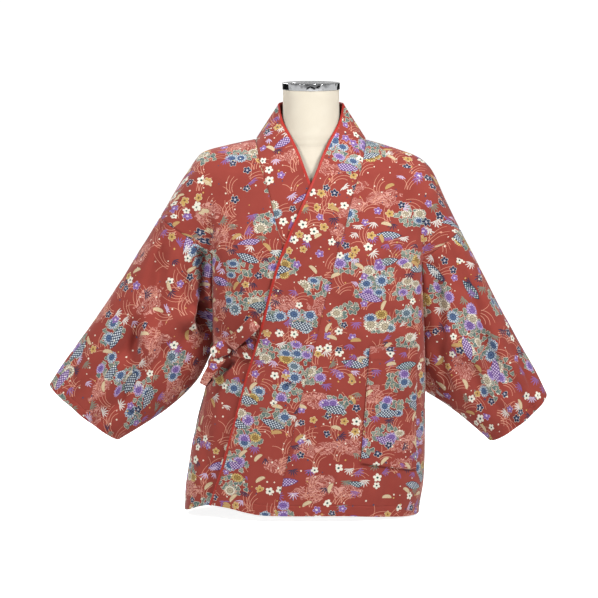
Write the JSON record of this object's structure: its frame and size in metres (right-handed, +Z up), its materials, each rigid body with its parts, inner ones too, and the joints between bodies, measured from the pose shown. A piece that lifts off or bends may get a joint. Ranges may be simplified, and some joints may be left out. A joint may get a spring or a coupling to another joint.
{
  "type": "kimono tunic top on dress form",
  "caption": "Kimono-style wrap top with wide sleeves, collar strips, piping, patch pocket and side tie, standing on a limbless dress form with a metal neck disc.",
  "frame": {"origin": "centre of the dress form's flat foot, on the surface it stands on", "axes": "+Z up, +X towards the wearer's left, so the front faces -Y"},
  "size_m": [0.9458, 0.2538, 0.8205],
  "materials": {
    "crepe": "brick-red polyester crepe with a small flower print, soft low sheen",
    "piping": "plain bright red satin-faced piping",
    "form_skin": "cream knit jersey cover, matt",
    "neck_disc": "polished metal disc"
  },
  "bodies": {
    "root": {"form": "form_skin", "cap": "neck_disc", "front_left": "crepe", "front_right": "crepe", "back_left": "crepe", "back_right": "crepe", "sleeve_left": "crepe", "sleeve_right": "crepe", "collar_left": "crepe", "collar_right": "crepe", "piping_left": "piping", "piping_right": "piping", "pocket": "crepe", "tie_strap": "crepe", "tie_side": "crepe", "tie_loop": "crepe", "tie_tail": "crepe", "tie_knot": "crepe"}
  },
  "joints": []
}
